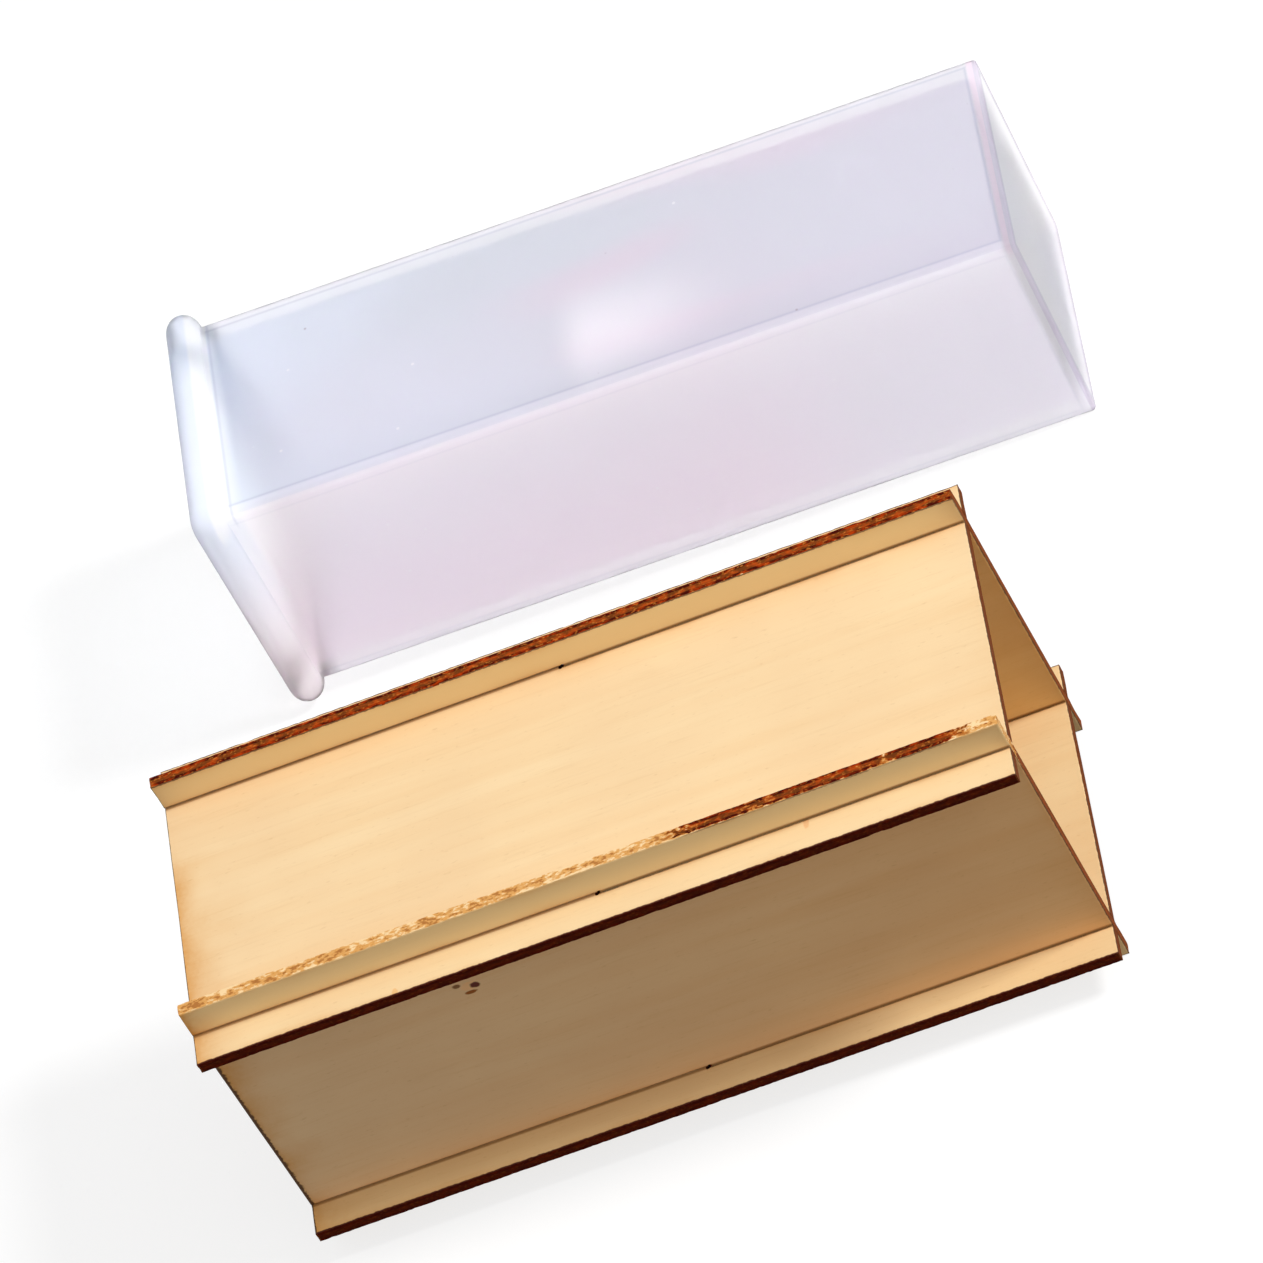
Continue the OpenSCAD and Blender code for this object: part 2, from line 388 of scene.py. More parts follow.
def growSpotGroup():
    # a small blot with a ragged outline
    tree, given, result = newGroup("spot", [("Place", "Vector"), ("Middle", "Vector"), ("Size", "Vector")],
                                   [("Mask", "Float")])
    off = add(tree, "ShaderNodeVectorMath", {"operation": "SUBTRACT"}, {0: given[0], 1: given[1]})
    off = add(tree, "ShaderNodeVectorMath", {"operation": "DIVIDE"}, {0: off.outputs[0], 1: given[2]})
    away = add(tree, "ShaderNodeVectorMath", {"operation": "LENGTH"}, {0: off.outputs[0]}).outputs["Value"]
    ragged = calc(tree, "ADD", away, calc(tree, "MULTIPLY", speckle(tree, given[0], 900.0, 2.0, 0.5), 0.6))
    tree.links.new(ramp(tree, ragged, 0.9, 1.3, 1.0, 0.0), result[0])
    return tree


def growBareGroup(name, stops, halfUp):
    # how bare a board's upper edge is rubbed, from one end to the other
    tree, given, result = newGroup(name, [("Place", "Vector")], [("Bare", "Float")])
    apart = add(tree, "ShaderNodeSeparateXYZ", None, {0: given[0]})
    share = calc(tree, "ADD", calc(tree, "DIVIDE", apart.outputs[0], boards["Length"]), 0.5)
    curve = add(tree, "ShaderNodeValToRGB", None, {0: share})
    steps = curve.color_ramp.elements
    while len(steps) < len(stops):
        steps.new(0.5)
    for step, (where, amount) in zip(steps, stops):
        step.position, step.color = where, (amount, amount, amount, 1)
    upper = ramp(tree, apart.outputs[1], *halfUp)
    tree.links.new(calc(tree, "MULTIPLY", curve.outputs[0], upper), result[0])
    return tree


grainGroup = growGrainGroup()
cutGroup = growCutGroup()
scorchGroup = growScorchGroup()
spotGroup = growSpotGroup()

veneer = {
    "pale": paint(249, 219, 172),
    "warm": paint(245, 210, 160),
    "cloud": paint(240, 206, 160),
    "fibre": paint(220, 180, 126),
    "fleck": paint(200, 154, 98),
    "finLight": paint(255, 227, 168),           # painted light: the strips that stand out past the crossing boards, lighter for the light the faces in front throw on them
    "haze": paint(214, 144, 50),
    "burn": paint(72, 22, 6),
    "endBurn": paint(48, 22, 5),
    # a brown line where a crossing board meets the face: laser stain, and painted contact shade where no slot
    # was cut
    "seamStainShade": paint(168, 114, 58),
    "hazeWidth": 0.9 * mm,
    "endHazeWidth": 4.4 * mm,
    "lineWidth": 0.36 * mm,
    "warmGrain": (0.35, 0.70),             # streaks, from pale to warm
    "fibreGrain": (0.50, 0.80, 0.0, 0.22),
    "cloudShare": 0.5,
    "fleckShare": 0.24,
    "hazeShare": 0.6,
    "endBurnShare": 0.9,
    "wear": 1.6,                           # how readily bare wood clears the burnt lines
    "seamWidth": 0.80 * mm,
    "seamHidden": -0.3 * mm,               # this far under the crossing board the stain and painted shade are weak
    "seamFade": (0.3, 1.0, 0.8, 0.0),      # the strength of the stain and painted shade over its width
    "fullBurn": (3 * mm, 5 * mm),          # out from the slot line, where the burnt line gains full strength
    "midSpan": (-20 * mm, 20 * mm),        # where one end's haze and line pass into the other's
    "fadeSpan": (-22 * mm, -6 * mm),       # where the ends' haze fades, across the board
    "rough": (0.50, 0.68),
    "gloss": 0.2,
    "bump": 0.10,
    "bumpDepth": 0.2 * mm,
}


def makeVeneer(name, seed, bare, shadeTints=None, insideShade=None, endHaze=(0.3, 0.3), endLine=(0.2, 0.2), finLight=0.7,
               hazeFade=0.0, spots=()):
    # shadeTints, endHaze and endLine: at the board's -x end and at its +x end, shadeTints being painted
    # shade;
    # insideShade: painted shade between the slot lines only; finLight: how far the outer strips take the
    # painted light of veneer finLight; hazeFade: how much the ends' haze fades towards -y; bare: the group
    # for bare wood along the upper edge
    material, tree, shader = newMaterial(name, veneer["pale"])
    place, apart = readPlace(tree, "boardPlace")
    along, across = apart[0], apart[1]
    grain = useGroup(tree, grainGroup, {"Place": place, "Seed": seed})
    cut = useGroup(tree, cutGroup, {
        "Place": place, "Half length": boards["Length"] / 2, "Half width": boards["Width"] / 2,
        "Slot line": boards["Slot line"], "Slot half": boards["Slot width"] / 2,
        "Slot end": boards["Slot end"], "Ply half": boards["Thickness"] / 2})
    near = useGroup(tree, scorchGroup, {
        "Distance": cut["Side distance"], "Place": place, "Seed": seed,
        "Haze width": veneer["hazeWidth"], "Line width": veneer["lineWidth"]})
    endWidth = calc(tree, "MULTIPLY", ramp(tree, along, *veneer["midSpan"], *endLine), mm)
    far = useGroup(tree, scorchGroup, {
        "Distance": cut["End distance"], "Place": place, "Seed": seed + 3,
        "Haze width": veneer["endHazeWidth"], "Line width": endWidth})
    colour = blend(tree, ramp(tree, grain["Streak"], *veneer["warmGrain"]), veneer["pale"], veneer["warm"])
    cloudy = calc(tree, "MULTIPLY", grain["Cloud"], veneer["cloudShare"])
    colour = blend(tree, cloudy, colour, veneer["cloud"])
    colour = blend(tree, ramp(tree, grain["Fibre"], *veneer["fibreGrain"]), colour, veneer["fibre"])
    flecks = calc(tree, "MULTIPLY", grain["Fleck"], veneer["fleckShare"])
    colour = blend(tree, flecks, colour, veneer["fleck"])
    out = calc(tree, "SUBTRACT", calc(tree, "ABSOLUTE", across), boards["Slot line"])
    onFin = calc(tree, "GREATER_THAN", out, 0.0)
    # painted shade: the colour darkens and warms towards one end of the board, where its face lies in shade
    if shadeTints:
        half = boards["Length"] / 2
        shadeTint = blend(tree, ramp(tree, along, -half, half, smooth=False), *shadeTints)
        shadeTint = blend(tree, calc(tree, "MULTIPLY", onFin, finLight), shadeTint, white)
        colour = blend(tree, 1.0, colour, shadeTint, "MULTIPLY")
    # painted shade: the face between the slot lines, within the box, darker and more orange as in its recess
    if insideShade:
        colour = blend(tree, calc(tree, "SUBTRACT", 1.0, onFin), colour, insideShade, "MULTIPLY")
    # painted light: the outer strips are lightened for the light thrown on them by the bright faces in front
    colour = blend(tree, calc(tree, "MULTIPLY", onFin, finLight), colour, veneer["finLight"])
    colour = blend(tree, calc(tree, "MULTIPLY", near["Haze"], veneer["hazeShare"]), colour, veneer["haze"])
    hazed = ramp(tree, along, *veneer["midSpan"], *endHaze)
    hazed = calc(tree, "MULTIPLY", hazed, ramp(tree, across, *veneer["fadeSpan"], 1 - hazeFade, 1.0))
    colour = blend(tree, calc(tree, "MULTIPLY", far["Haze"], hazed), colour, veneer["haze"])
    for middle, size, strength, shade in spots:
        mask = useGroup(tree, spotGroup, {"Place": place, "Middle": middle, "Size": size})["Mask"]
        colour = blend(tree, calc(tree, "MULTIPLY", mask, strength), colour, shade)
    offSeam = cut["Seam distance"]
    # the joint line: laser stain, partly painted contact shade along the crossing board
    seamStainShade = ramp(tree, calc(tree, "DIVIDE", offSeam, veneer["seamWidth"]), *veneer["seamFade"])
    hidden = ramp(tree, offSeam, veneer["seamHidden"], 0.0, 0.3, 1.0)
    colour = blend(tree, calc(tree, "MULTIPLY", seamStainShade, hidden), colour, veneer["seamStainShade"])
    line = calc(tree, "MULTIPLY", near["Line"], ramp(tree, out, *veneer["fullBurn"], 0.25, 1.0))
    endBurn = calc(tree, "MULTIPLY", far["Line"], veneer["endBurnShare"])
    if bare:
        bareness = useGroup(tree, bare, {"Place": place})["Bare"]
        worn = calc(tree, "MULTIPLY", bareness, veneer["wear"], clamp=True)
        line = calc(tree, "MULTIPLY", line, calc(tree, "SUBTRACT", 1.0, worn))
        worn = calc(tree, "MULTIPLY", worn, onFin)
        endBurn = calc(tree, "MULTIPLY", endBurn, calc(tree, "SUBTRACT", 1.0, worn))
    colour = blend(tree, endBurn, colour, veneer["endBurn"])
    colour = blend(tree, line, colour, veneer["burn"])
    tree.links.new(colour, shader.inputs["Base Color"])
    rough = ramp(tree, grain["Fibre"], 0.3, 0.7, *veneer["rough"])
    tree.links.new(rough, shader.inputs["Roughness"])
    shader.inputs["Specular IOR Level"].default_value = veneer["gloss"]
    relief = calc(tree, "ADD", calc(tree, "MULTIPLY", grain["Fibre"], 0.6),
                  calc(tree, "MULTIPLY", grain["Streak"], 0.3))
    addBump(tree, shader, veneer["bump"], veneer["bumpDepth"], relief)
    return material


char = {
    "dark": paint(66, 8, 1),
    "brown": paint(182, 58, 3),
    "ember": paint(204, 120, 46),
    "bare": paint(250, 216, 164),
    "toast": paint(222, 158, 80),
    "crumb": paint(152, 80, 28),
    "end": paint(132, 72, 34),             # the cut ends are burnt less
    "glue": paint(40, 8, 4),
    "core": (0.16, 0.24),                  # the middle ply's edge, in shares of the thickness off the middle
    "glueLine": 0.20,
    "glueWidth": 0.035,
    "blots": (340, 600, 800),              # grain of each noise along, across and through, per metre
    "grit": (900, 1400, 1600),
    "crumbs": (620, 1100, 1300),
    "clumps": (150, 300, 300),
    "endReach": (0.3 * mm, 0.5 * mm),
    "rough": 0.8,
    "gloss": 0.05,
    "bump": 0.35,
    "bumpDepth": 0.15 * mm,
}


def makeChar(name, seed, bare, amber):
    # bare: as above; amber: how far the char is rubbed to brown
    material, tree, shader = newMaterial(name, char["brown"])
    place, apart = readPlace(tree, "boardPlace")
    layer = calc(tree, "DIVIDE", apart[2], boards["Thickness"])      # -0.5 to 0.5
    offMiddle = calc(tree, "ABSOLUTE", layer)
    core = ramp(tree, offMiddle, *char["core"], 1.0, 0.0)
    glueAway = calc(tree, "ABSOLUTE", calc(tree, "SUBTRACT", offMiddle, char["glueLine"]))
    glue = ramp(tree, glueAway, 0.0, char["glueWidth"], 1.0, 0.0)
    blot = speckle(tree, stretched(tree, place, char["blots"]), 1.0, 4.0, 0.62, seed)
    grit = speckle(tree, stretched(tree, place, char["grit"]), 1.0, 3.0, 0.6, seed + 5)
    colour = blend(tree, ramp(tree, blot, 0.42, 0.66, 0.0, amber), char["dark"], char["brown"])
    embers = calc(tree, "MULTIPLY", ramp(tree, grit, 0.54, 0.66), amber * 0.7)
    colour = blend(tree, embers, colour, char["ember"])
    colour = blend(tree, calc(tree, "MULTIPLY", core, 0.2 * amber), colour, char["ember"])
    colour = blend(tree, calc(tree, "MULTIPLY", glue, 0.5), colour, char["glue"])
    toEnd = calc(tree, "SUBTRACT", boards["Length"] / 2, calc(tree, "ABSOLUTE", apart[0]))
    colour = blend(tree, ramp(tree, toEnd, *char["endReach"], 0.65, 0.0), colour, char["end"])
    if bare:
        amount = useGroup(tree, bare, {"Place": place})["Bare"]
        arris = ramp(tree, layer, 0.30, 0.46, 0.0, 0.22)           # paler along the face towards the front
        need = calc(tree, "SUBTRACT", 0.82, calc(tree, "MULTIPLY", calc(tree, "ADD", amount, arris), 0.62))
        patch = calc(tree, "ADD", calc(tree, "MULTIPLY", blot, 0.6), calc(tree, "MULTIPLY", grit, 0.4))
        over = calc(tree, "SUBTRACT", patch, need)
        crumbs = speckle(tree, stretched(tree, place, char["crumbs"]), 1.0, 3.0, 0.6, seed + 9)
        clump = speckle(tree, stretched(tree, place, char["clumps"]), 1.0, 2.0, 0.5, seed + 13)
        middle = ramp(tree, offMiddle, 0.2, 0.48, 0.04, -0.06)
        clumped = calc(tree, "ADD", middle, ramp(tree, clump, 0.3, 0.7, -0.08, 0.08))
        crumbs = calc(tree, "ADD", crumbs, clumped)
        wood = blend(tree, ramp(tree, crumbs, 0.40, 0.52, 0.0, 0.9), char["bare"], char["toast"])
        wood = blend(tree, ramp(tree, crumbs, 0.57, 0.64, 0.0, 0.65), wood, char["crumb"])
        colour = blend(tree, calc(tree, "MULTIPLY", ramp(tree, over, -0.08, 0.0), 0.8), colour, char["ember"])
        colour = blend(tree, ramp(tree, over, -0.02, 0.04), colour, wood)
    tree.links.new(colour, shader.inputs["Base Color"])
    shader.inputs["Roughness"].default_value = char["rough"]
    shader.inputs["Specular IOR Level"].default_value = char["gloss"]
    addBump(tree, shader, char["bump"], char["bumpDepth"], grit)
    return material


print("wood finishes made")


def growBoard(node, seed, turn, face, cut):
    # turn stands the board up or lays it down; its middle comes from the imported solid
    values = dict(boards, Seed=seed, Face=face, Cut=cut)
    piece = bpy.data.objects.new(node.replace("_", "-") + "-board", bpy.data.meshes.new(node))
    scene.collection.objects.link(piece)
    grow = piece.modifiers.new("grow", "NODES")
    grow.node_group = boardTree
    for item in boardTree.interface.items_tree:
        if item.in_out == "INPUT":
            grow[item.identifier] = values[item.name]
    depsgraph = bpy.context.evaluated_depsgraph_get()
    mesh = bpy.data.meshes.new_from_object(piece.evaluated_get(depsgraph), preserve_all_data_layers=True,
                                           depsgraph=depsgraph)
    piece.modifiers.clear()
    piece.data = mesh
    low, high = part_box(node)
    mesh.transform(Matrix.Translation((low + high) / 2) @ turn)
    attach(piece, node)
    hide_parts(node)
    return piece


upright = Matrix.Rotation(math.radians(90), 4, "X")
level = Matrix.Rotation(math.radians(180), 4, "Z")
upperEdge = (20 * mm, 40 * mm)         # bare wood comes in over this stretch across the board
# bare wood along a board's upper edge: (share of the length, amount)
frontBare = growBareGroup("frontBare", [
    (0.0, 0.95), (0.04, 0.80), (0.58, 0.74), (0.64, 0.30), (0.67, 0.24), (0.71, 0.45), (0.75, 0.24),
    (0.84, 0.22), (0.865, 0.46), (0.89, 0.18), (0.93, 0.20), (0.965, 0.62), (1.0, 0.70)], upperEdge)
backBare = growBareGroup("backBare", [(0.0, 0.10), (1.0, 0.14)], upperEdge)
skin = plyT / 2
# small marks: middle, size, strength, colour
knots = [((-37.8 * mm, 21.1 * mm, skin), (2.8 * mm, 1.8 * mm, mm), 0.7, paint(255, 200, 140)),
         ((-36.6 * mm, 20.9 * mm, skin), (1.45 * mm, 1.2 * mm, mm), 1.0, paint(84, 26, 0)),
         ((-38.3 * mm, 19.0 * mm, skin), (1.8 * mm, 0.75 * mm, mm), 1.0, paint(150, 84, 20)),
         ((-40.6 * mm, 22.4 * mm, skin), (1.2 * mm, 0.9 * mm, mm), 0.9, paint(112, 66, 14))]
scorches = [((-50.5 * mm, 37.4 * mm, skin), (0.9 * mm, 2.2 * mm, mm), 0.4, paint(230, 150, 78)),
            ((50.9 * mm, 44.2 * mm, skin), (0.9 * mm, 1.4 * mm, mm), 0.5, paint(240, 176, 92))]
# node, seed, how it stands, bare wood, amber of its char, what its veneer shows, painted shade and painted
# light included
boardList = [
    ("front_panel", 11.0, upright, frontBare, 0.9,
     dict(shadeTints=((0.97, 0.92, 0.90, 1), (0.95, 0.77, 0.60, 1)), endHaze=(1.0, 0.3), endLine=(0.9, 0.2),
          spots=knots)),
    ("back_panel", 23.0, upright, backBare, 1.0, dict(insideShade=(1.0, 0.91, 0.66, 1))),
    ("top_panel", 37.0, level, None, 0.15, dict(endHaze=(0.1, 0.9), hazeFade=0.9, finLight=0.15, spots=scorches)),
    ("bottom_panel", 51.0, level, None, 0.15,
     dict(endHaze=(0.1, 0.9), endLine=(0.2, 0.4), finLight=0.0, shadeTints=((1, 1, 0.95, 1), (0.92, 0.87, 0.75, 1)))),
]
for node, seed, turn, bare, amber, shown in boardList:
    word = node.split("_")[0]
    face = makeVeneer(word + "Veneer", seed, bare, **shown)
    piece = growBoard(node, seed, turn, face, makeChar(word + "Char", seed, bare, amber))
    print(piece.name, len(piece.data.polygons), "faces")


# the liner, taken as one skin from the closed end round the bead and back down the inside
liner = {
    "width": 65 * mm,
    "wall": 3 * mm,
    "endWall": 3 * mm,
    "draft": 1 * mm,
    "length": 209.5 * mm,
    "corner": 2 * mm,
    "innerCorner": 1.5 * mm,
    "endEdge": 1 * mm,
    "innerEndEdge": 1.2 * mm,
    "rimOut": 4.5 * mm,
    "rimLength": 8.5 * mm,
    "lip": 0.8 * mm,
    "tilt": 1.40231,               # degrees; it lies on its bead and on the closed end's edge
    "mouth": (-99.7002 * mm, 83.9 * mm, 37.0929 * mm),
    "cornerSteps": 10,
    "beadSteps": 28,
    "edgeSteps": 7,
    "wallSteps": 40,
}


def turnSteps(count, whole=90):
    # the angles of a quarter turn, or of another turn, in even steps
    return [math.radians(whole * i / count) for i in range(count + 1)]


def wallHalf(x):
    share = max(0, x - liner["rimLength"]) / (liner["length"] - liner["rimLength"])
    return (liner["width"] - liner["draft"] * share) / 2


def linerOutline():
    # (distance from the mouth, half width, corner radius)
    far, cavity = liner["length"], liner["length"] - liner["endWall"]
    edge, inEdge, lip = liner["endEdge"], liner["innerEndEdge"], liner["lip"]
    rows = []
    for a in turnSteps(liner["edgeSteps"]):
        rows.append((far - edge * (1 - math.cos(a)), wallHalf(far) - edge * (1 - math.sin(a)),
                     liner["corner"] - edge * (1 - math.sin(a))))
    for i in range(1, liner["wallSteps"]):
        x = far - edge + (liner["rimLength"] - far + edge) * i / liner["wallSteps"]
        rows.append((x, wallHalf(x), liner["corner"]))
    for a in turnSteps(liner["beadSteps"], 180):
        out = liner["rimOut"] * math.sin(a)
        rows.append((liner["rimLength"] * (1 + math.cos(a)) / 2, liner["width"] / 2 + out,
                     liner["corner"] + out))
    for a in turnSteps(liner["edgeSteps"]):
        into = lip * (1 - math.sin(a))
        rows.append((lip * (1 - math.cos(a)), liner["width"] / 2 - liner["wall"] + into,
                     liner["innerCorner"] + into))
    for i in range(1, liner["wallSteps"]):
        x = lip + (cavity - inEdge - lip) * i / liner["wallSteps"]
        rows.append((x, wallHalf(x) - liner["wall"], liner["innerCorner"]))
    for a in turnSteps(liner["edgeSteps"]):
        into = inEdge * (1 - math.cos(a))
        rows.append((cavity - inEdge * (1 - math.sin(a)), wallHalf(cavity) - liner["wall"] - into,
                     max(liner["innerCorner"] - into, liner["innerCorner"] / 4)))
    return rows


def linerRing(x, halfWidth, radius):
    points = []
    for quarter in range(4):
        turn = math.radians(90 * quarter + 45)
        middle = halfWidth - radius
        for i in range(liner["cornerSteps"] + 1):
            a = math.radians(90 * (quarter + i / liner["cornerSteps"]))
            points.append(Vector((x, math.copysign(middle, math.cos(turn)) + radius * math.cos(a),
                                  math.copysign(middle, math.sin(turn)) + radius * math.sin(a))))
    return points


def makeLiner(wall, bead):
    form = bmesh.new()
    rings = [[form.verts.new(point) for point in linerRing(*row)] for row in linerOutline()]
    count = len(rings[0])
    for near, far in zip(rings, rings[1:]):
        for i in range(count):
            k = (i + 1) % count
            form.faces.new((near[i], near[k], far[k], far[i]))
    form.faces.new(rings[0])
    form.faces.new(rings[-1])
    bmesh.ops.recalc_face_normals(form, faces=form.faces)
    mesh = bpy.data.meshes.new("liner")
    form.to_mesh(mesh)
    form.free()
    kept = mesh.attributes.new("linerPlace", "FLOAT_VECTOR", "POINT")
    for point, vertex in zip(kept.data, mesh.vertices):
        point.vector = vertex.co                       # along, across and up, from the mouth's middle
    mesh.materials.append(wall)
    mesh.materials.append(bead)
    for face in mesh.polygons:
        face.use_smooth = True
        face.material_index = int(face.center.x < liner["rimLength"])
    mesh.transform(Matrix.Translation(liner["mouth"]) @ Matrix.Rotation(math.radians(liner["tilt"]), 4, "Y"))
    piece = bpy.data.objects.new("frosted-liner", mesh)
    scene.collection.objects.link(piece)
    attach(piece, "silicone_liner")
    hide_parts("silicone_liner")
    return piece


silicone = {
    "cool": paint(226, 233, 244),
    "lilac": paint(215, 219, 226),
    "pink": paint(219, 218, 227),
    "lowerWallLight": paint(233, 230, 237),         # the wall it lies on, painted lighter for the light that comes through it
    "blush": paint(231, 211, 224),         # broad bands of a pinker wall
    "side": paint(250, 249, 252),          # the upright walls, painted whiter than the upper wall: painted light
    "sidePink": paint(255, 245, 250),
    "solid": paint(250, 247, 254),         # where the wall is seen edge on
    "endRing": paint(220, 211, 228),       # the same, around the closed end
    "endBand": paint(249, 224, 242),       # across the upper wall, in front of the closed end
    "outline": paint(204, 188, 204),       # painted shade where a rounded edge turns out of sight
    "line": paint(182, 186, 204),          # the cavity's corner, showing through the wall
    "bright": paint(249, 248, 252),
    "rim": paint(226, 234, 249),
    "rimPinkLight": paint(255, 245, 250),       # the bead's lower part, pinker and painted lighter against its shade
    "rimHighlight": (5.4 * mm, 6.4 * mm),      # painted highlight: along its top the bead is white from here to the wall
    "rimFall": (-34 * mm, 30 * mm),        # from its pink bottom, painted lighter, to its cool top
    "rimHighlightBand": 1.5 * mm,                   # a painted highlight, a bright band where the bead meets the wall
    "topBand": (26 * mm, 32 * mm),         # heights over which something comes in along the upper wall
    "wallHeight": 20 * mm,                 # the upper wall is all above this, the lower one below minus this
    "drift": 100 * mm,                     # how far the tints wander with the clouding
    "coolEnds": (0.0, 100 * mm),           # from the mouth: cool into lilac
    "pinkStarts": (90 * mm, 200 * mm),     # lilac into pink
    "blushStarts": (70 * mm, 120 * mm),
    "sidePinkEnds": (120 * mm, 170 * mm),  # along the upright walls
    "sidePinkTop": (-20 * mm, 30 * mm),    # and up them
    "speck": paint(150, 132, 138),
    "lineWidth": 0.55 * mm,
    "glowPlace": (104 * mm, -14 * mm),     # a pale cloud in the upper wall: along, across
    "glowSize": (40 * mm, 20 * mm),
    "glowSharp": 4.0,                      # how much sooner it ends towards the mouth
    "moteGrain": 160.0,                    # motes in the wall, per metre
    "motesDark": (60 * mm, 120 * mm),      # from more, mostly white ones to fewer, mostly dark ones
    "rough": (0.47, 0.54),
    "bump": 0.05,
    "bumpDepth": 0.3 * mm,
    "clear": 0.88,                 # share of the light that goes through the walls
    "rimClear": 0.70,              # and through the thick bead
    "bend": 1.17,                  # low, as for light scattered in the wall
    "depth": 2.5 * mm,             # how far light wanders in the rest
}


def growFrostGroup():
    # the clouding of all the silicone, its roughness, and a mask for the top of the walls
    tree, given, result = newGroup("frost", [("Place", "Vector")],
                                   [("Cloud", "Float"), ("Roughness", "Float"), ("Top", "Float")])
    cloud = speckle(tree, given[0], 14.0, 2.0, 0.5, 4.0)
    up = add(tree, "ShaderNodeSeparateXYZ", None, {0: given[0]}).outputs[2]
    tree.links.new(cloud, result[0])
    tree.links.new(ramp(tree, cloud, 0.3, 0.7, *silicone["rough"]), result[1])
    tree.links.new(ramp(tree, up, *silicone["topBand"]), result[2])
    return tree


frostGroup = growFrostGroup()


def siliconeBody(name, shown, clear):
    material, tree, shader = newMaterial(name, shown)
    place, apart = readPlace(tree, "linerPlace")
    frost = useGroup(tree, frostGroup, {"Place": place})
    shader.inputs["Transmission Weight"].default_value = clear
    shader.inputs["IOR"].default_value = silicone["bend"]
    shader.inputs["Subsurface Weight"].default_value = 1
    shader.inputs["Subsurface Radius"].default_value = (1, 0.9, 1)
    shader.inputs["Subsurface Scale"].default_value = silicone["depth"]
    tree.links.new(frost["Roughness"], shader.inputs["Roughness"])
    addBump(tree, shader, silicone["bump"], silicone["bumpDepth"], frost["Cloud"])
    return material, tree, shader, place, apart, frost


